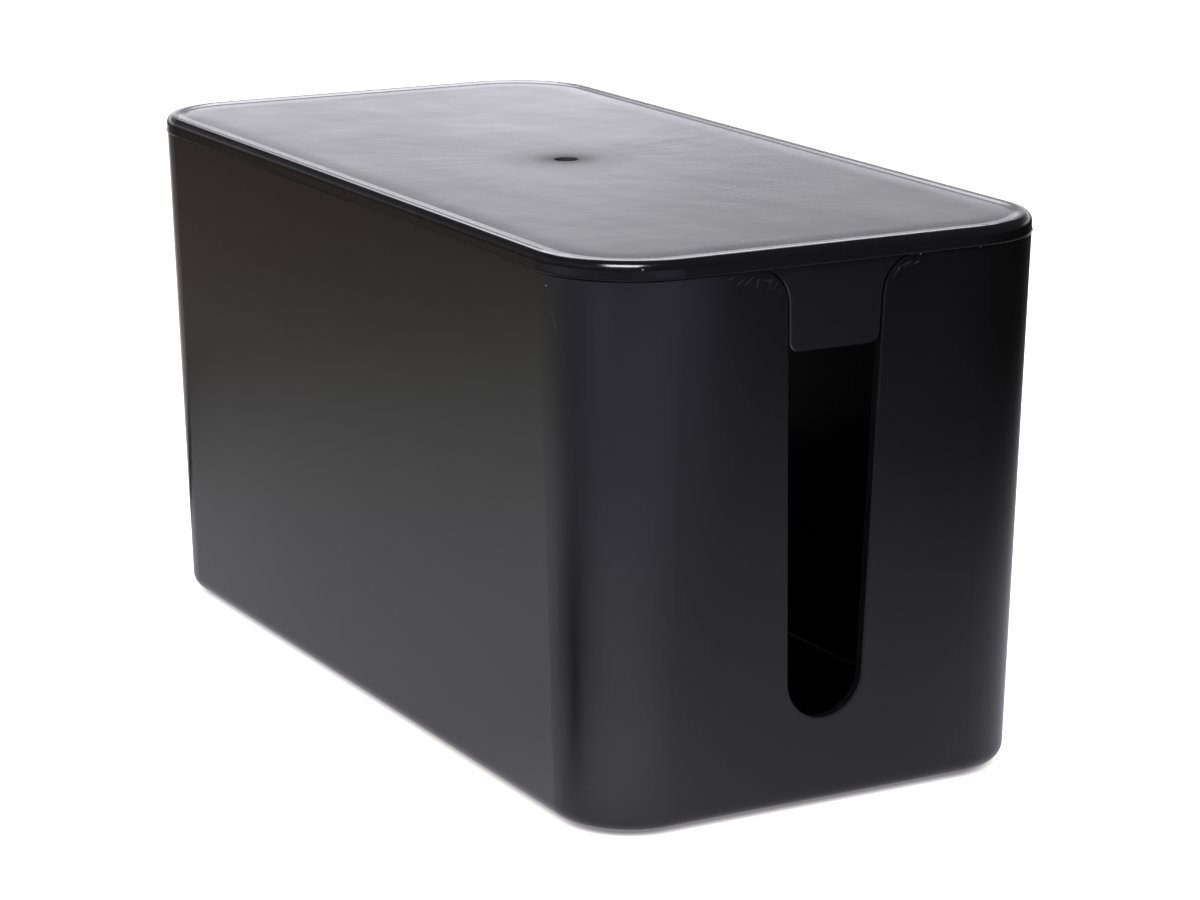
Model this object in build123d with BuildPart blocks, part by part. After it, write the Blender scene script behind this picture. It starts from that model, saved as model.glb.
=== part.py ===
"""Cable management box: a drafted open tub with a cord slot in each end, a lift-off lid whose
tongues close the tops of the slots, and four rubber feet."""

import os
from math import acos, asin, cos, degrees, radians, sin, tan

from build123d import *

# Driving dimensions, in millimetres and degrees. X runs along the box and Y across it, and the
# box stands on its feet at Z = 0.

# Lid, outside
lid_length = 235.0
lid_width = 116.4
lid_corner_radius = 22.5
rim_height = 4.0  # from the seam to the crest of the raised border
rim_draft = 0.4  # the rim leans in by this much towards its top
rim_edge_radius = 2.0  # outer top edge
bead_reach = 0.2  # how far the sharp bead along the lower edge stands proud of the rim
bead_chamfer = 0.15  # underside of that bead

# Lid, top: the raised border falls into the dish through two equal arcs
crest_width = 0.3
dish_depth = 0.35
dish_radius = 4.0

# Lid, walls
plate_thickness = 2.2
skirt_thickness = 2.2
lip_thickness = 1.6
lip_depth = 5.0  # below the seam
lip_lead = 0.6  # chamfer that guides the lid into the tub
lip_clearance = 0.3  # between the lip and the tub's inner face
border_overlap = 3.0  # how far the swept border runs on into the plate

# Lid, gate mark: a small round well in a wide shallow sink
gate_radius = 2.7
gate_depth = 1.2
gate_taper = 12.0
gate_edge_chamfer = 0.25
gate_nub_radius = 0.7
gate_nub_height = 0.4
sink_radius = 10.0
sink_depth = 0.12

# Tub
tub_height = 116.8  # from the underside to the seam
overhang = 0.6  # the lid's lower edge stands this far outside the tub
corner_tuck = 0.9  # the mouth's corners are this much tighter than the lid's, inside it
wall = 2.5
floor_thickness = 3.0
wall_draft = 1.65  # the walls close in by this much towards the bottom
bottom_radius = 3.6
inner_bottom_radius = 2.0
edge_chamfer = 0.35  # around the mouth and the slots, outside
tub_gate_radius = 4.0  # gate recess in the middle of the underside
tub_gate_depth = 0.6

# Cord slots, one in each end wall
slot_low = 19.2  # lowest point of a slot above the tub's underside
slot_end_radius = 9.05
slot_taper = 1.65  # each side opens by this much towards the top
flare_radius = 8.2  # rounded shoulders where a slot meets the mouth

# Tongues of the lid
tongue_depth = 18.0  # below the seam
tongue_clearance = 0.35  # to the slot's sides
tongue_recess = 0.2  # behind the tub's outer face
tongue_thickness = 2.2
tongue_corner_radius = 2.4
tongue_edge_chamfer = 0.25

# Gussets that brace each tongue from behind
gusset_thickness = 1.5
gusset_spacing = 11.0
gusset_reach = 7.0  # along the underside of the lid
gusset_depth = 12.0  # down the tongue, below the seam

# Feet
foot_radius = 6.0
foot_thickness = 2.0
foot_stand = 1.0  # how far a foot stands below the tub
foot_inset = 21.0  # centre of a foot from the tub's sides, at the underside
foot_clearance = 0.2  # around a foot in its recess

# What follows from them
underside = foot_stand
seam = underside + tub_height
plate_top = seam + rim_height - dish_depth
plate_underside = plate_top - plate_thickness
tub_length = lid_length - 2 * overhang
tub_width = lid_width - 2 * overhang
tub_corner_radius = lid_corner_radius - overhang - corner_tuck
bottom_shrink = tub_height * tan(radians(wall_draft))
lip_outer = overhang + wall + lip_clearance  # inward from the lid's outline
lip_inner = lip_outer + lip_thickness
foot_x = tub_length / 2 - bottom_shrink - foot_inset
foot_y = tub_width / 2 - bottom_shrink - foot_inset


def drafted_core(inset, low, high):
    """The space inside the tub's drafted outer face moved inward by inset, from low to high."""
    growth = (high - seam) * tan(radians(wall_draft)) - inset
    with BuildPart() as core:
        with BuildSketch(Plane.XY.offset(high)):
            RectangleRounded(
                tub_length + 2 * growth, tub_width + 2 * growth, tub_corner_radius + growth
            )
        extrude(amount=low - high, taper=wall_draft)
    return core.part


def slot_outline():
    """Outline of a cord slot, drawn in Y and Z: a round lower end, sides that open upward, and
    shoulders that curl out to the seam. It runs on above the seam."""
    with BuildSketch() as outline:
        with BuildLine():
            centre = (0, underside + slot_low + slot_end_radius)
            lower_end = CenterArc(centre, slot_end_radius, 270, 90 - slot_taper)
            shoulder_low = seam - flare_radius * (1 - sin(radians(slot_taper)))
            rise = shoulder_low - (lower_end @ 1).Y
            side = PolarLine(lower_end @ 1, rise / cos(radians(slot_taper)), 90 - slot_taper)
            shoulder = JernArc(side @ 1, side % 1, flare_radius, slot_taper - 90)
            above = Line(shoulder @ 1, shoulder @ 1 + Vector(0, 2 * rim_height))
            Line(above @ 1, (0, (above @ 1).Y))
            mirror(about=Plane.YZ)
        make_face()
    return outline.sketch


# Tub: drafted shell, slots cut through both end walls, and round recesses for the feet
tub_outside = drafted_core(0, underside, seam)
tub_hollow = drafted_core(wall, underside + floor_thickness, seam)

with BuildPart() as hollow:
    add(tub_hollow)
    fillet(hollow.faces().sort_by(Axis.Z)[0].edges(), inner_bottom_radius)

with BuildPart() as base_tub:
    add(tub_outside)
    fillet(base_tub.faces().sort_by(Axis.Z)[0].edges(), bottom_radius)
    add(hollow.part, mode=Mode.SUBTRACT)
    with BuildSketch(Plane.YZ) as slot:
        add(slot_outline())
    extrude(amount=tub_length, both=True, mode=Mode.SUBTRACT)
    mouth_half = slot.sketch.bounding_box().size.Y / 2

    # The mouth's outer edges run on into those of the slots, so one chamfer follows them all
    long_edges = base_tub.edges().group_by(Axis.Z)[-1].filter_by(Axis.X).group_by(Axis.Y)
    chamfer(long_edges[0] + long_edges[-1], edge_chamfer)

    with BuildSketch(Plane.XY.offset(underside)):
        with GridLocations(2 * foot_x, 2 * foot_y, 2, 2):
            Circle(foot_radius + foot_clearance)
    extrude(amount=foot_thickness - foot_stand, mode=Mode.SUBTRACT)
    with BuildSketch(Plane.XY.offset(underside)):
        Circle(tub_gate_radius)
    extrude(amount=tub_gate_depth, mode=Mode.SUBTRACT)

# Tongues: slices of the slots' outline that stand in the tub's end walls and lean as they do
with BuildPart() as tongues:
    lean = radians(wall_draft)
    tongue_plane = Plane(
        (tub_length / 2 - tongue_recess - seam * tan(lean), 0, 0),
        x_dir=(0, 1, 0),
        z_dir=(cos(lean), 0, -sin(lean)),
    )
    with BuildSketch(tongue_plane) as tongue_face:
        add(slot_outline())
        offset(amount=-tongue_clearance)
        with Locations((0, seam - tongue_depth)):
            Rectangle(
                lid_width,
                tongue_depth + (plate_underside + plate_top) / 2 - seam,
                align=(Align.CENTER, Align.MIN),
                mode=Mode.INTERSECT,
            )
        fillet(tongue_face.vertices().group_by(Axis.Y)[0], tongue_corner_radius)
    extrude(amount=-tongue_thickness)
    chamfer(tongues.faces().sort_by(Axis.X)[-1].edges(), tongue_edge_chamfer)
    mirror(about=Plane.YZ)

# Gate mark: a wide shallow sink with a small well and the gate's nub in its middle
with BuildPart() as gate_mark:
    with BuildSketch(Plane.XZ) as gate_section:
        # Two equal arcs, so that the sink runs out level with the plate
        sink_curve = (sink_radius**2 + sink_depth**2) / (4 * sink_depth)
        sink_turn = degrees(asin(sink_radius / (2 * sink_curve)))
        with BuildLine():
            bowl = JernArc((0, plate_top - sink_depth), (1, 0), sink_curve, sink_turn)
            brow = JernArc(bowl @ 1, bowl % 1, sink_curve, -sink_turn)
            Polyline(brow @ 1, (0, plate_top), bowl @ 0)
        make_face()
        well_foot = gate_radius - gate_depth * tan(radians(gate_taper))
        with BuildLine():
            Polyline(
                (0, plate_top),
                (gate_radius, plate_top),
                (well_foot, plate_top - gate_depth),
                (gate_nub_radius, plate_top - gate_depth),
                (gate_nub_radius, plate_top - gate_depth + gate_nub_height),
                (0, plate_top - gate_depth + gate_nub_height),
                close=True,
            )
        make_face()
        well_edge = gate_section.vertices().sort_by_distance((gate_radius, plate_top - sink_depth))
        chamfer(well_edge[0], gate_edge_chamfer)
    revolve(axis=Axis.Z)

# Gussets: a pair for each tongue, drawn for one and moved to both sides of the middle
with BuildPart() as gussets:
    tongue_middle = tub_length / 2 - tongue_recess - tongue_thickness / 2
    tongue_back = tongue_middle - tongue_thickness / 2
    with BuildSketch(Plane.XZ):
        with BuildLine():
            Polyline(
                (tongue_middle, plate_underside),
                (tongue_back - gusset_reach, plate_underside),
                (tongue_back - gusset_thickness, seam - gusset_depth),
                (tongue_middle, seam - gusset_depth),
                close=True,
            )
        make_face()
    extrude(amount=gusset_thickness / 2, both=True)
    mirror(about=Plane.YZ)

# Lid: one section swept along a quarter of the outline and mirrored, then the plate
with BuildPart() as lid:
    with BuildLine(Plane.XY.offset(seam)) as quarter:
        side = Line((0, -lid_width / 2), (lid_length / 2 - lid_corner_radius, -lid_width / 2))
        corner = JernArc(side @ 1, side % 1, lid_corner_radius, 90)
        Line(corner @ 1, (lid_length / 2, 0))
    # The section is drawn inward from the outline and upward from the seam
    with BuildSketch(Plane((0, -lid_width / 2, seam), x_dir=(0, 1, 0), z_dir=(1, 0, 0))):
        with BuildLine():
            bead = Polyline(
                (skirt_thickness, 0),
                (bead_chamfer, 0),
                (0, bead_chamfer),
                (bead_reach, bead_chamfer + bead_reach),
            )
            edge_low = rim_height - rim_edge_radius * (1 - sin(radians(rim_draft)))
            rim_rise = edge_low - (bead @ 1).Y
            rim = PolarLine(bead @ 1, rim_rise / cos(radians(rim_draft)), 90 - rim_draft)
            edge = JernArc(rim @ 1, rim % 1, rim_edge_radius, rim_draft - 90)
            crest = Line(edge @ 1, edge @ 1 + Vector(crest_width, 0))
            dish_turn = degrees(acos(1 - dish_depth / (2 * dish_radius)))
            fall = JernArc(crest @ 1, crest % 1, dish_radius, -dish_turn)
            settle = JernArc(fall @ 1, fall % 1, dish_radius, dish_turn)
            floor = plate_top - seam
            ceiling = plate_underside - seam
            reach = lip_inner + border_overlap
            lip_shift = lip_depth * tan(radians(wall_draft))
            Polyline(
                settle @ 1,
                (reach, floor),
                (reach, ceiling),
                (lip_inner + lip_shift, ceiling),
                (lip_inner + lip_shift, -lip_depth),
                (lip_outer + lip_shift + lip_lead, -lip_depth),
                (lip_outer + lip_shift, lip_lead - lip_depth),
                (lip_outer, ceiling),
                (skirt_thickness, ceiling),
                bead @ 0,
            )
        make_face()
    sweep(path=quarter.line)
    mirror(about=Plane.YZ)
    mirror(about=Plane.XZ)
    with BuildSketch(Plane.XY.offset(plate_underside)):
        RectangleRounded(
            lid_length - 2 * (lip_inner + border_overlap / 2),
            lid_width - 2 * (lip_inner + border_overlap / 2),
            lid_corner_radius - lip_inner - border_overlap / 2,
        )
    extrude(amount=plate_thickness)

    # The lip stops short of the tongues
    with BuildSketch(Plane.XY.offset(plate_underside)):
        with GridLocations(lid_length - skirt_thickness - lip_inner - border_overlap, 0, 2, 1):
            Rectangle(
                lip_inner + border_overlap - skirt_thickness, 2 * (mouth_half + lip_clearance)
            )
    extrude(amount=-rim_height - lip_depth, mode=Mode.SUBTRACT)
    add(tongues.part)
    with GridLocations(0, gusset_spacing, 1, 2):
        add(gussets.part)

    add(gate_mark.part, mode=Mode.SUBTRACT)

pieces = {"base_tub": base_tub, "lid": lid}

# Feet: four rubber discs, each seated in its recess
foot_corners = {
    "foot_front_left": (-foot_x, -foot_y),
    "foot_front_right": (foot_x, -foot_y),
    "foot_back_left": (-foot_x, foot_y),
    "foot_back_right": (foot_x, foot_y),
}
for name, corner_point in foot_corners.items():
    with BuildPart() as foot:
        with BuildSketch():
            with Locations(corner_point):
                Circle(foot_radius)
        extrude(amount=foot_thickness)
    pieces[name] = foot

os.makedirs("parts", exist_ok=True)
for name, piece in pieces.items():
    piece.part.label = name
    export_step(piece.part, f"parts/{name}.step")
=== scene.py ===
"""Looks of the cable management box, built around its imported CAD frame.

The materials measure in millimetres and the studio in metres.
"""

from math import cos, radians, sin

import bpy
from mathutils import Matrix, Vector


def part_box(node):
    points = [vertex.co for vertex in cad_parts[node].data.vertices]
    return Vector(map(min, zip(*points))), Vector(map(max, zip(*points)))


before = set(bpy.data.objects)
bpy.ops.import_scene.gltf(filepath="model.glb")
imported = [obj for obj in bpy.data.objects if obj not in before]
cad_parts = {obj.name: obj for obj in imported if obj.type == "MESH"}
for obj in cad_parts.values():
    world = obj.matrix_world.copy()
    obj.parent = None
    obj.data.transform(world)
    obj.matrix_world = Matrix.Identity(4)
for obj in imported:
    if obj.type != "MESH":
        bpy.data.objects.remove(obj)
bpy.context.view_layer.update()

scene = bpy.context.scene
scene.view_settings.view_transform = "Standard"

MM = 0.001

# ---------------------------------------------------------------- node helpers


class Shader:
    """A node tree that is written one call at a time."""

    def __init__(self, tree):
        self.tree = tree
        tree.nodes.clear()

    def node(self, kind, inputs=None, **settings):
        made = self.tree.nodes.new(kind)
        for name, value in settings.items():
            setattr(made, name, value)
        for key, value in (inputs or {}).items():
            self.feed(made.inputs[key], value)
        return made

    def feed(self, socket, value):
        if isinstance(value, bpy.types.NodeSocket):
            self.tree.links.new(value, socket)
        else:
            socket.default_value = value

    def math(self, operation, *values, clamp=False):
        made = self.node("ShaderNodeMath", dict(enumerate(values)), operation=operation)
        made.use_clamp = clamp
        return made.outputs[0]

    def chain(self, operation, first, *others):
        for other in others:
            first = self.math(operation, first, other)
        return first

    def plus(self, *values):
        return self.chain("ADD", *values)

    def times(self, *values):
        return self.chain("MULTIPLY", *values)

    def strongest(self, *values):
        return self.chain("MAXIMUM", *values)

    def vector(self, operation, *values, output="Vector"):
        made = self.node("ShaderNodeVectorMath", dict(enumerate(values)), operation=operation)
        return made.outputs[output]

    def scaled(self, colour, amount):
        """A colour or vector times a number."""
        made = self.node(
            "ShaderNodeVectorMath", {0: colour, "Scale": amount}, operation="SCALE"
        )
        return made.outputs[0]

    def dot(self, first, second):
        return self.vector("DOT_PRODUCT", first, second, output="Value")

    def length(self, value):
        return self.vector("LENGTH", value, output="Value")

    def parts(self, value):
        """The X, Y and Z of a vector, by name."""
        return self.node("ShaderNodeSeparateXYZ", {0: value}).outputs

    def ramp(self, value, low, high, to_low=0.0, to_high=1.0):
        """Runs smoothly from to_low at low to to_high at high, and stays level outside."""
        made = self.node(
            "ShaderNodeMapRange",
            {
                "Value": value,
                "From Min": low,
                "From Max": high,
                "To Min": to_low,
                "To Max": to_high,
            },
            interpolation_type="SMOOTHSTEP",
        )
        return made.outputs["Result"]

    def mix(self, factor, first, second):
        # A mix node has sockets for every kind of value, and these are the colour ones
        made = self.node("ShaderNodeMix", {0: factor, 6: first, 7: second}, data_type="RGBA")
        return made.outputs[2]

    def blob(self, place, centre, size, turn=0.0):
        """1 at centre, falling softly to 0 over about size. The turn is about Z."""
        seen = self.node(
            "ShaderNodeMapping",
            {"Vector": place, "Location": centre, "Rotation": (0, 0, turn), "Scale": size},
            vector_type="TEXTURE",
        ).outputs[0]
        return self.math("EXPONENT", self.times(self.dot(seen, seen), -1.0))

    def noise(self, place, scale, detail=2.0, roughness=0.5):
        made = self.node(
            "ShaderNodeTexNoise",
            {"Vector": place, "Scale": scale, "Detail": detail, "Roughness": roughness},
        )
        return made.outputs["Fac"]

    def plastic(self, colour, rough, ior, bump):
        shader = self.node(
            "ShaderNodeBsdfPrincipled",
            {"Base Color": colour, "Roughness": rough, "IOR": ior, "Normal": bump.outputs[0]},
        )
        self.node("ShaderNodeOutputMaterial", {"Surface": shader.outputs[0]})

    def by_ray(self, output, camera, glossy, other):
        """Shows one shader to the camera, another to mirrored rays and a third to the rest."""
        path = self.node("ShaderNodeLightPath").outputs
        unseen = self.node(
            "ShaderNodeMixShader",
            {0: path["Is Glossy Ray"], 1: other.outputs[0], 2: glossy.outputs[0]},
        )
        surface = self.node(
            "ShaderNodeMixShader",
            {0: path["Is Camera Ray"], 1: unseen.outputs[0], 2: camera.outputs[0]},
        )
        self.node(output, {"Surface": surface.outputs[0]})


def rgb(red, green, blue):
    return (red, green, blue, 1.0)


def new_material(name):
    material = bpy.data.materials.new(name)
    material.use_nodes = True
    return material, Shader(material.node_tree)


# ---------------------------------------------------------------- materials

BLACK_ABS = rgb(0.0046, 0.0044, 0.0049)
PALER_ABS = rgb(0.0054, 0.0051, 0.0056)
TONGUE_ABS = rgb(0.0088, 0.0085, 0.0100)
SCUFFED = rgb(0.075, 0.075, 0.082)
DUST = rgb(0.45, 0.45, 0.47)
RUBBER = rgb(0.011, 0.011, 0.011)
DUSTY_RUBBER = rgb(0.022, 0.022, 0.021)
ABS_IOR = 1.5
RUBBER_IOR = 1.52

# The pieces' own sizes, where a material follows them
lid_low, lid_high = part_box("lid")
tub_low, tub_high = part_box("base_tub")
SEAM = tub_high.z / MM
END_FACE = tub_high.x / MM
LID_HALVES = ((lid_high.x - lid_low.x) / MM / 2, (lid_high.y - lid_low.y) / MM / 2)
LID_CORNER = 22.5
LID_TOP = lid_high.z / MM - 0.35  # the plate lies this far below the crest
GATE = (0, 0, LID_TOP)
PLATE_INSET = 5.0  # from the lid's outline to where the plate starts
END_FLAT = 37.2  # half width of the flat part of an end face
SLOT_HALF = 25.0  # half width of a slot with its shoulders
END_WALL = 111.0  # how far out the end walls start
SLOT_FOOT = 14.0  # above the rounded bottom edge and below the slots

# How far a shading normal leans, and over what distance it comes to that
BORDER_REACH = 7.0
BORDER_TILT = 0.034
FAIRING_REACH = 9.0
FAIRING_TILT = 0.15

# Specks of dust that lie anywhere: spacing, radius, the share of places that has one, and seed
DUST_GRAINS = (6.0, 0.15, 0.10, 3.1)
LINT = (2.2, 0.11, 0.06, 8.7)

# Wear and dust that the box shows in particular places
LID_SPECKS = [(60.0, -35.4, LID_TOP), (105.2, -15.5, LID_TOP), (115.5, -44.5, 120.1)]
TUB_SPECKS = [(98.9, -57.3, 115.2), (116.9, 19.9, SEAM - 0.3), (116.9, 34.7, SEAM - 0.2)]
LID_SCRATCHES = [
    ((-24.0, 20.0, LID_TOP), (-9.0, 7.0, LID_TOP), 0.16),
    ((38.0, 20.0, LID_TOP), (47.0, 26.0, LID_TOP), 0.14),
    ((70.0, -14.0, LID_TOP), (83.0, -18.0, LID_TOP), 0.14),
    ((22.0, -24.0, LID_TOP), (30.0, -31.0, LID_TOP), 0.14),
]
TUB_SCRATCH = ((100.3, -56.9, 110.1), (101.6, -56.5, 107.0), 0.16)

# Lifting the lid off drags its tongues over the shoulders of the slots. These are Y and Z of the
# two ends of each scuff on an end face, its width, and how strongly it shows.
END_SCUFFS = [
    ((-23.7, 115.1), (-22.2, 116.2), 0.22, 0.30),
    ((-21.8, 115.0), (-20.1, 116.4), 0.24, 0.28),
    ((-19.1, 114.3), (-18.7, 115.9), 0.20, 0.55),
    ((-23.2, 112.5), (-22.3, 113.3), 0.24, 0.16),
    ((-16.1, 114.6), (-15.6, 115.6), 0.24, 0.36),
    ((-15.1, 113.8), (-14.2, 114.7), 0.22, 0.24),
    ((-14.1, 112.8), (-13.0, 113.0), 0.26, 0.20),
    ((-25.5, 116.6), (-24.6, 116.9), 0.22, 0.34),
    ((-17.5, 115.8), (-16.1, 115.3), 0.26, 0.20),
    ((-16.5, 113.3), (-15.8, 114.3), 0.22, 0.22),
    ((14.5, 114.6), (14.8, 115.2), 0.26, 0.75),
    ((13.3, 113.1), (14.1, 114.2), 0.24, 0.50),
    ((15.2, 115.3), (17.8, 116.2), 0.22, 0.32),
    ((15.9, 114.9), (18.3, 115.5), 0.18, 0.16),
    ((18.6, 115.6), (19.5, 116.0), 0.20, 0.70),
    ((13.1, 112.6), (13.7, 112.7), 0.22, 0.50),
    ((41.2, 112.2), (42.1, 111.3), 0.17, 0.60),
    ((42.1, 111.3), (43.1, 111.6), 0.17, 0.60),
    ((43.1, 111.6), (43.7, 112.8), 0.16, 0.45),
]


def millimetres(s):
    """The object's own coordinates, in millimetres."""
    place = s.node("ShaderNodeTexCoord").outputs["Object"]
    return s.scaled(place, 1 / MM)


def stroke(s, place, start, end, width):
    """1 along the line from start to end, falling to 0 at width beside it."""
    start, end = Vector(start), Vector(end)
    run = end - start
    away = s.vector("SUBTRACT", place, start)
    along = s.math("MULTIPLY", s.dot(away, run / run.length_squared), 1.0, clamp=True)
    gap = s.length(s.vector("SUBTRACT", away, s.scaled(run, along)))
    return s.ramp(gap, width, 0.2 * width)


def from_outline(s, place, half_sides, corner):
    """How far place is outside a rounded rectangle, and which way is out. Inside is negative."""
    core = (half_sides[0] - corner, half_sides[1] - corner, 0)
    flat = s.vector("MULTIPLY", place, (1, 1, 0))
    beyond = s.vector("SUBTRACT", s.vector("ABSOLUTE", flat), core)
    over = s.vector("MAXIMUM", beyond, (0, 0, 0))
    away = s.math("SUBTRACT", s.length(over), corner)
    outward = s.vector("NORMALIZE", s.vector("MULTIPLY", over, s.vector("SIGN", flat)))
    return away, outward


def leaning(s, normal, way, amount):
    """The normal, tilted a little towards way."""
    return s.vector("NORMALIZE", s.vector("ADD", normal, s.scaled(way, amount)))


def specks(s, place, spacing, radius, share, seed):
    """Sparse round specks: this share of the cells carries one."""
    shifted = s.vector("ADD", place, (seed, 2.3 * seed, -1.7 * seed))
    cells = s.node("ShaderNodeTexVoronoi", {"Vector": shifted, "Scale": 1 / spacing})
    near = s.ramp(cells.outputs["Distance"], radius / spacing, 0.4 * radius / spacing)
    split = s.node("ShaderNodeSeparateColor", {0: cells.outputs["Color"]})
    return s.times(near, s.math("LESS_THAN", split.outputs[0], share))


def points(s, place, centres, radius):
    spots = [s.ramp(s.blob(place, centre, (radius,) * 3), 0.2, 0.7) for centre in centres]
    return s.strongest(*spots)


def tub_marks(s, place):
    # The other end carries the same scuffs, as if the box were turned round
    spot = s.parts(place)
    turned = s.times(spot["Y"], s.math("SIGN", spot["X"]))
    end = s.node(
        "ShaderNodeCombineXYZ",
        {"X": s.math("ABSOLUTE", spot["X"]), "Y": turned, "Z": spot["Z"]},
    ).outputs[0]
    marks = [s.times(stroke(s, place, *TUB_SCRATCH), 0.6)]
    for start, finish, width, strength in END_SCUFFS:
        line = stroke(s, end, (END_FACE, *start), (END_FACE, *finish), width)
        marks.append(s.times(line, strength))
    patchy = s.ramp(s.noise(place, 1.6, 3.0), 0.3, 0.6, 0.45, 1.0)
    return s.times(s.strongest(*marks), patchy)


def lid_marks(s, place):
    scratches = s.strongest(*[stroke(s, place, *line) for line in LID_SCRATCHES])
    return s.times(scratches, s.ramp(s.noise(place, 1.2), 0.35, 0.6, 0.0, 0.35))


def flow_relief(s, place):
    """How the plastic ran out from the gate: faint rays, a soft dip and a slight roll."""
    flat = s.vector("MULTIPLY", place, (1, 1, 0))
    away = s.length(flat)
    ray = s.vector("NORMALIZE", flat)
    spun = s.vector("ADD", s.scaled(ray, 3.2), s.scaled((0, 0, 1), s.times(away, 0.012)))
    rays = s.noise(spun, 1.6, 4.0, 0.62)
    reach = s.times(s.ramp(away, 4.0, 26.0), s.ramp(away, 95.0, 40.0, 0.35, 1.0))
    dip = s.blob(place, GATE, (13, 13, 30))
    rolled = s.noise(s.vector("MULTIPLY", place, (0.9, 1.6, 1.0)), 0.028, 1.5, 0.4)
    peel = s.noise(place, 0.9, 2.0, 0.6)
    return s.plus(
        s.times(rays, reach, 0.027),
        s.times(dip, -0.03),
        s.times(rolled, 0.12),
        s.times(peel, 0.016),
    )


def slot_edges(s, place, normal):
    """1 on the narrow chamfers around the cord slots, which face half outward."""
    outward = s.parts(s.vector("ABSOLUTE", normal))["X"]
    slanting = s.times(s.ramp(outward, 0.30, 0.55), s.ramp(outward, 0.96, 0.85))
    spot = s.parts(s.vector("ABSOLUTE", place))
    near_slot = s.times(
        s.ramp(spot["Y"], SLOT_HALF + 1, SLOT_HALF - 1),
        s.ramp(spot["X"], END_WALL - 1, END_WALL + 1),
        s.ramp(spot["Z"], SLOT_FOOT - 2, SLOT_FOOT + 2),
    )
    return s.times(slanting, near_slot)


def faired_corners(s, place, normal):
    """The normals of the end faces turn gradually into the rounded corners."""
    spot = s.parts(place)
    past = s.math("SUBTRACT", s.math("ABSOLUTE", spot["Y"]), END_FLAT)
    near = s.math("DIVIDE", past, FAIRING_REACH)
    peak = s.math("EXPONENT", s.times(near, near, -1.0))
    along = s.dot(normal, s.vector("MULTIPLY", place, (1, 0, 0)))
    outward = s.math("MULTIPLY", along, 1 / END_FACE, clamp=True)
    tilt = s.times(peak, outward, FAIRING_TILT)
    return leaning(s, normal, (0, 1, 0), s.times(tilt, s.math("SIGN", spot["Y"])))


def sunk_border(s, place, normal):
    """Moulding pulls the lid's plate down a little along its border."""
    away, outward = from_outline(s, place, LID_HALVES, LID_CORNER)
    on_plate = s.ramp(away, 0.4 - PLATE_INSET, -0.4 - PLATE_INSET)
    pull = s.times(s.ramp(away, -PLATE_INSET - BORDER_REACH, -PLATE_INSET), on_plate)
    return leaning(s, normal, outward, s.times(pull, BORDER_TILT))


def finish_tub(s, place, colour, rough, height):
    """Dull slot edges, and end faces that run smoothly into the corners."""
    normal = s.node("ShaderNodeNewGeometry").outputs["Normal"]
    edge = slot_edges(s, place, normal)
    flattening = s.vector("SUBTRACT", (1, 1, 1), s.scaled((0, 0.9, 0.9), edge))
    normal = faired_corners(s, place, s.vector("MULTIPLY", normal, flattening))
    return colour, s.plus(rough, s.times(edge, 0.15)), height, normal


def finish_lid(s, place, colour, rough, height):
    """Greyer tongues, flow lines, a dull blush round the gate and a sunk border."""
    below_seam = s.ramp(s.parts(place)["Z"], SEAM, SEAM - 0.5)
    colour = s.mix(below_seam, colour, TONGUE_ABS)
    blush = s.blob(place, GATE, (10, 10, 30))
    rough = s.plus(rough, s.times(blush, 0.50))
    height = s.plus(height, flow_relief(s, place))
    normal = sunk_border(s, place, s.node("ShaderNodeNewGeometry").outputs["Normal"])
    return colour, rough, height, normal


def moulded(name, grain_height, roughness, finish, marks, dusty):
    """Black ABS with the fine grain of its mould, gentle unevenness, wear and dust."""
    material, s = new_material(name)
    place = millimetres(s)
    grain = s.noise(place, 1.4, 3.0, 0.6)
    uneven = s.noise(place, 0.035, 2.0, 0.5)
    clouds = s.noise(place, 0.05, 3.0, 0.55)
    stretched = s.vector("MULTIPLY", place, (1.0, 1.7, 0.6))
    smears = s.ramp(s.noise(stretched, 0.06, 5.0, 0.65), 0.58, 0.8)
    rough = s.plus(
        s.ramp(clouds, 0.3, 0.7, roughness - 0.012, roughness + 0.012),
        s.ramp(grain, 0.3, 0.7, -0.012, 0.012),
        s.times(smears, 0.018),
    )
    colour = s.mix(s.ramp(clouds, 0.25, 0.75), BLACK_ABS, PALER_ABS)
    height = s.plus(s.times(grain, grain_height), s.times(uneven, 0.08))
    colour, rough, height, normal = finish(s, place, colour, rough, height)

    worn = marks(s, place)
    colour = s.mix(worn, colour, SCUFFED)
    rough = s.plus(rough, s.times(worn, 0.25))
    dust = s.strongest(
        s.times(points(s, place, dusty, 0.22), 0.5),
        s.times(specks(s, place, *DUST_GRAINS), 0.30),
        s.times(specks(s, place, *LINT), 0.10),
    )
    colour = s.mix(dust, colour, DUST)
    rough = s.strongest(rough, s.times(dust, 0.8))
    bump = s.node(
        "ShaderNodeBump",
        {"Height": height, "Distance": MM, "Strength": 1.0, "Normal": normal},
    )
    s.plastic(colour, rough, ABS_IOR, bump)
    return material


def make_rubber():
    """Matt rubber with a pebbled skin and a greyish bloom."""
    material, s = new_material("foot_rubber")
    place = millimetres(s)
    pebbles = s.noise(place, 2.2, 4.0, 0.6)
    bloom = s.ramp(s.noise(place, 0.35, 4.0, 0.65), 0.4, 0.75)
    colour = s.mix(bloom, RUBBER, DUSTY_RUBBER)
    rough = s.ramp(s.plus(pebbles, s.times(bloom, 0.4)), 0.3, 1.1, 0.62, 0.82)
    bump = s.node("ShaderNodeBump", {"Height": s.times(pebbles, 0.05), "Distance": MM})
    s.plastic(colour, rough, RUBBER_IOR, bump)
    return material


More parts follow.
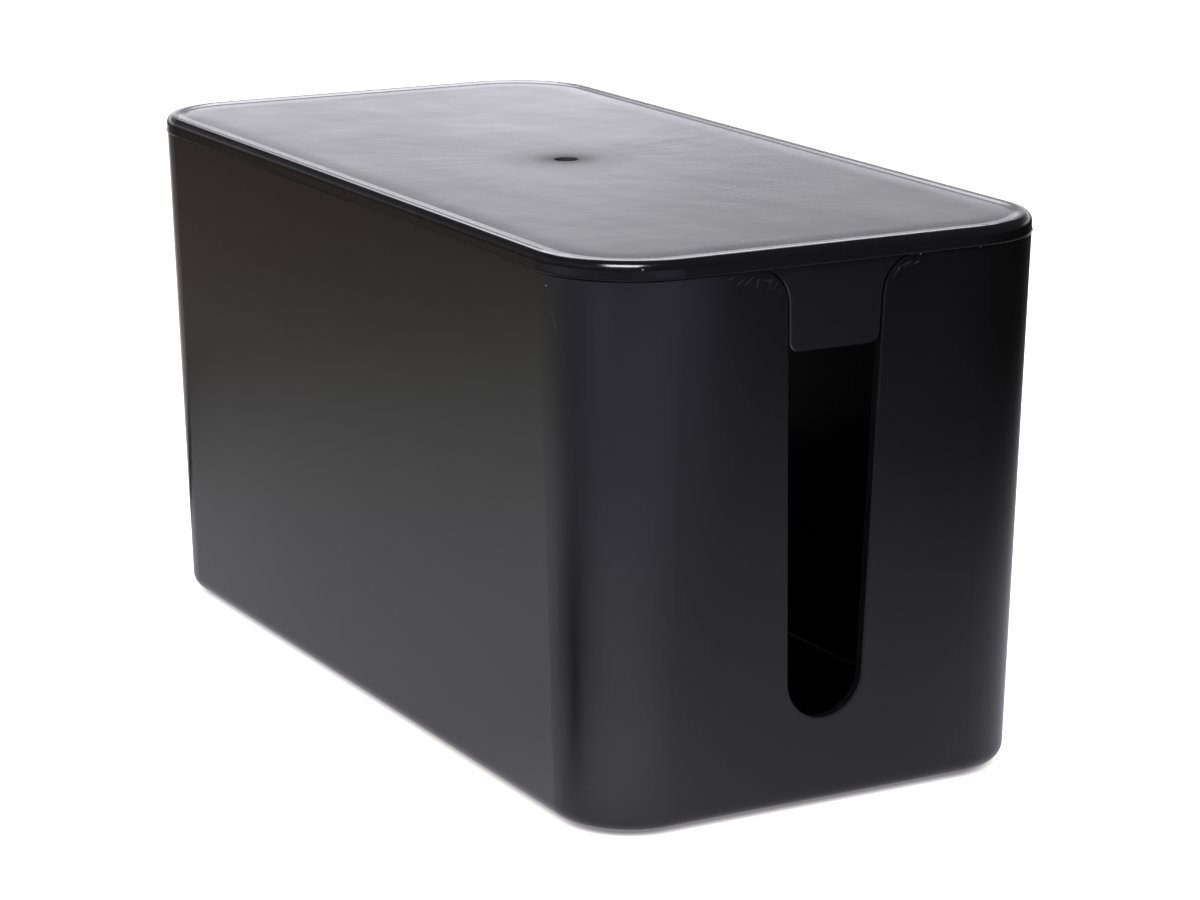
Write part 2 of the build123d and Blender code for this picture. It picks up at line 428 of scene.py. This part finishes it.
tub_plastic = moulded("tub_plastic", 0.003, 0.20, finish_tub, tub_marks, TUB_SPECKS)
lid_plastic = moulded("lid_plastic", 0.005, 0.17, finish_lid, lid_marks, LID_SPECKS)
foot_rubber = make_rubber()
PLASTICS = {"base_tub": tub_plastic, "lid": lid_plastic}

for name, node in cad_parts.items():
    node.data.materials.clear()
    node.data.materials.append(PLASTICS.get(name, foot_rubber))

# ---------------------------------------------------------------- camera

# The camera looks at a point on the box's upright middle line. Its place and lens come from the
# outline of the box in the photograph.
AZIMUTH = radians(61.42)
ELEVATION = radians(14.2)
ROLL = radians(-0.04)
AIM = Vector((0, 0, 61.0)) * MM
SIDEWAYS = -7.74 * MM
UPWARD = 8.18 * MM
DISTANCE = 845.7 * MM
FOCAL_PIXELS = 3625
PHOTO_WIDTH = 1200
SENSOR = 36.0


def place_camera():
    back = Vector((sin(AZIMUTH) * cos(ELEVATION), -cos(AZIMUTH) * cos(ELEVATION), sin(ELEVATION)))
    level = Vector((cos(AZIMUTH), sin(AZIMUTH), 0))
    rise = back.cross(level)
    right = level * cos(ROLL) + rise * sin(ROLL)
    up = rise * cos(ROLL) - level * sin(ROLL)
    data = bpy.data.cameras.new("camera")
    data.sensor_width = SENSOR
    data.lens = FOCAL_PIXELS / PHOTO_WIDTH * SENSOR
    data.clip_start = 0.01
    camera = bpy.data.objects.new("camera", data)
    scene.collection.objects.link(camera)
    turn = Matrix((right, up, back)).transposed().to_4x4()
    place = AIM - right * SIDEWAYS - up * UPWARD + back * DISTANCE
    camera.matrix_world = Matrix.Translation(place) @ turn
    scene.camera = camera


place_camera()

# ---------------------------------------------------------------- studio

# Pools of light on the paper, as the plastic mirrors them: middle and half widths in metres,
# turn in degrees, and colour. A colour below zero is a shaded patch.
FLOOR_POOLS = [
    ((-0.157, -0.387), (0.181, 0.615), 3, (0.28, 0.30, 0.29)),
    ((0.104, -0.167), (0.203, 0.112), 23, (0.99, 0.98, 1.07)),
    ((0.412, -0.248), (0.218, 0.733), -40, (0.61, 0.56, 0.82)),
    ((-0.460, 0.135), (0.568, 0.163), -6, (1.51, 1.50, 1.69)),
    ((-0.848, 0.446), (0.900, 0.355), 115, (0.41, 0.32, 0.27)),
    ((0.074, -0.187), (0.074, 0.082), -27, (-0.85, -0.84, -0.89)),
    ((0.135, -0.070), (0.055, 0.040), 20, (0.45, 0.45, 0.50)),
    ((0.320, -0.420), (0.090, 0.070), -40, (0.20, 0.20, 0.22)),
    ((0.470, 0.210), (0.100, 0.050), 30, (-0.10, -0.10, -0.10)),
    ((0.330, 0.170), (0.070, 0.045), 30, (-0.07, -0.07, -0.07)),
    ((0.600, 0.260), (0.080, 0.120), 30, (-0.30, -0.30, -0.32)),
    ((-0.250, -0.084), (0.080, 0.012), 28.6, (-1.60, -1.60, -1.70)),
    ((-2.900, -1.600), (1.000, 0.800), 28.6, (0.45, 0.42, 0.38)),
    ((0.087, -0.118), (0.015, 0.055), -11, (-0.44, -0.44, -0.46)),
]
FLOOR_HALF = 4.0
PAPER = rgb(0.8, 0.8, 0.8)
PAPER_GLOW = rgb(1.0, 0.97, 0.975)
SHADED_GLOW = 0.18
FULL_GLOW = 0.95
TUB_FOOT_INSET = 3.4 * MM  # the tub's underside is this much smaller all round than its mouth
TUB_FOOT_CORNER = 17.6 * MM
SHADOW_START = -5.0 * MM  # from the outline of the tub's underside outward
SHADOW_END = -0.6 * MM

# The backdrop stands behind the box, as the lid mirrors it. Each line gives two elevations in
# degrees and the strength at each: brightest near the horizon, dark at its foot, faded above.
BACKDROP_AZIMUTH = 150
BACKDROP_FALL = ((5.0, 12.2), (2.45, 0.45))
BACKDROP_FOOT = ((2.5, 6.5), (0.25, 1.0))
BACKDROP_FADE = ((14, 24), (1.0, 0.1))
# Across it: how far a ray points to the right of its middle, and the strength there
BACKDROP_LEAN = ((-0.14, 0.10), (1.08, 0.84))
STREAK_OFFSET = -0.035
STREAK_HALF = 0.055
STREAK = (1.13, 0.95)

# Softboxes, as the plastic mirrors them: azimuth and elevation of the middle, then half angle and
# softness across, half angle and softness upward, and strength. All the angles are in degrees.
MIRRORED_SOFTBOXES = [
    ((-38, 49), (14, 3), (9, 3), 22.0),
    ((154, 38), (12, 6), (8, 14), 5.4),
    ((-80, 24), (50, 20), (10, 14), 0.16),
]
DIM_ROOM = 0.07
MIRRORED_TINT = rgb(0.97, 0.965, 1.04)
WHITE = rgb(1, 1, 1)
AMBIENT = 0.3


def make_floor():
    data = bpy.data.meshes.new("floor")
    r = FLOOR_HALF
    data.from_pydata([(-r, -r, 0), (r, -r, 0), (r, r, 0), (-r, r, 0)], [], [(0, 1, 2, 3)])
    floor = bpy.data.objects.new("floor", data)
    scene.collection.objects.link(floor)
    material, s = new_material("floor_paper")
    place = s.node("ShaderNodeNewGeometry").outputs["Position"]
    paper = s.node("ShaderNodeBsdfDiffuse", {"Color": PAPER})

    # The glow that whitens the paper is painted weaker near the box: a painted contact shadow
    # laid over the paper's own real shadow
    half_sides = (tub_high.x - TUB_FOOT_INSET, tub_high.y - TUB_FOOT_INSET)
    gap, _ = from_outline(s, place, half_sides, TUB_FOOT_CORNER)
    glow = s.ramp(gap, SHADOW_START, SHADOW_END, SHADED_GLOW, FULL_GLOW)
    lift = s.node("ShaderNodeEmission", {"Color": PAPER_GLOW, "Strength": glow})
    seen = s.node("ShaderNodeAddShader", {0: paper.outputs[0], 1: lift.outputs[0]})

    pooled = (0, 0, 0)
    for (x, y), (a, b), turn, colour in FLOOR_POOLS:
        pool = s.scaled(colour, s.blob(place, (x, y, 0), (a, b, 1), radians(turn)))
        pooled = s.vector("ADD", pooled, pool)
    pooled = s.vector("MAXIMUM", pooled, (0, 0, 0))
    mirrored = s.node("ShaderNodeEmission", {"Color": pooled, "Strength": 1.0})
    s.by_ray("ShaderNodeOutputMaterial", camera=seen, glossy=mirrored, other=paper)
    data.materials.append(material)


def heading(azimuth, elevation):
    """Unit vector from the box. The azimuth is counted from +X towards +Y."""
    a, e = radians(azimuth), radians(elevation)
    return Vector((cos(a) * cos(e), sin(a) * cos(e), sin(e)))


def mirrored_backdrop(s, ray):
    height = s.parts(ray)["Z"]
    layers = []
    for (low, high), strengths in (BACKDROP_FALL, BACKDROP_FOOT, BACKDROP_FADE):
        layers.append(s.ramp(height, sin(radians(low)), sin(radians(high)), *strengths))
    behind = s.ramp(s.dot(ray, heading(BACKDROP_AZIMUTH, 0)), 0.45, 0.85)
    sideways = s.dot(ray, heading(BACKDROP_AZIMUTH - 90, 0))
    lean = s.ramp(sideways, *BACKDROP_LEAN[0], *BACKDROP_LEAN[1])
    off_streak = s.math("ABSOLUTE", s.math("SUBTRACT", sideways, STREAK_OFFSET))
    streak = s.ramp(off_streak, 0.0, STREAK_HALF, *STREAK)
    return s.times(*layers, behind, lean, streak)


def mirrored_softbox(s, ray, centre, across, upward, strength):
    middle = heading(*centre)
    right = heading(centre[0] + 90, 0)
    edges = []
    for way, (half, softness) in ((right, across), (middle.cross(right), upward)):
        away = s.math("ABSOLUTE", s.dot(ray, way))
        edges.append(s.ramp(away, sin(radians(half)), sin(radians(half + softness)), 1.0, 0.0))
    ahead = s.math("GREATER_THAN", s.dot(ray, middle), 0.0)
    return s.times(*edges, ahead, strength)


def make_world():
    world = bpy.data.worlds.new("studio")
    world.use_nodes = True
    scene.world = world
    s = Shader(world.node_tree)
    ray = s.node("ShaderNodeTexCoord").outputs["Generated"]
    room = s.strongest(mirrored_backdrop(s, ray), DIM_ROOM)
    softboxes = [mirrored_softbox(s, ray, *softbox) for softbox in MIRRORED_SOFTBOXES]
    gloss = s.node(
        "ShaderNodeBackground", {"Color": MIRRORED_TINT, "Strength": s.plus(room, *softboxes)}
    )
    camera = s.node("ShaderNodeBackground", {"Color": WHITE, "Strength": 1.0})
    ambient = s.node("ShaderNodeBackground", {"Color": WHITE, "Strength": AMBIENT})
    s.by_ray("ShaderNodeOutputWorld", camera=camera, glossy=gloss, other=ambient)


def add_softbox(name, azimuth, elevation, distance, width, height, power):
    data = bpy.data.lights.new(name, "AREA")
    data.shape = "RECTANGLE"
    data.size = width
    data.size_y = height
    data.energy = power
    lamp = bpy.data.objects.new(name, data)
    scene.collection.objects.link(lamp)
    place = heading(azimuth, elevation) * distance
    lamp.location = place
    lamp.rotation_euler = (-place).to_track_quat("-Z", "Y").to_euler()
    lamp.visible_glossy = False


make_floor()
make_world()
add_softbox("key", -38, 50, distance=1.3, width=1.0, height=0.6, power=10.0)
add_softbox("overhead", 60, 82, distance=1.2, width=1.0, height=1.0, power=6.0)
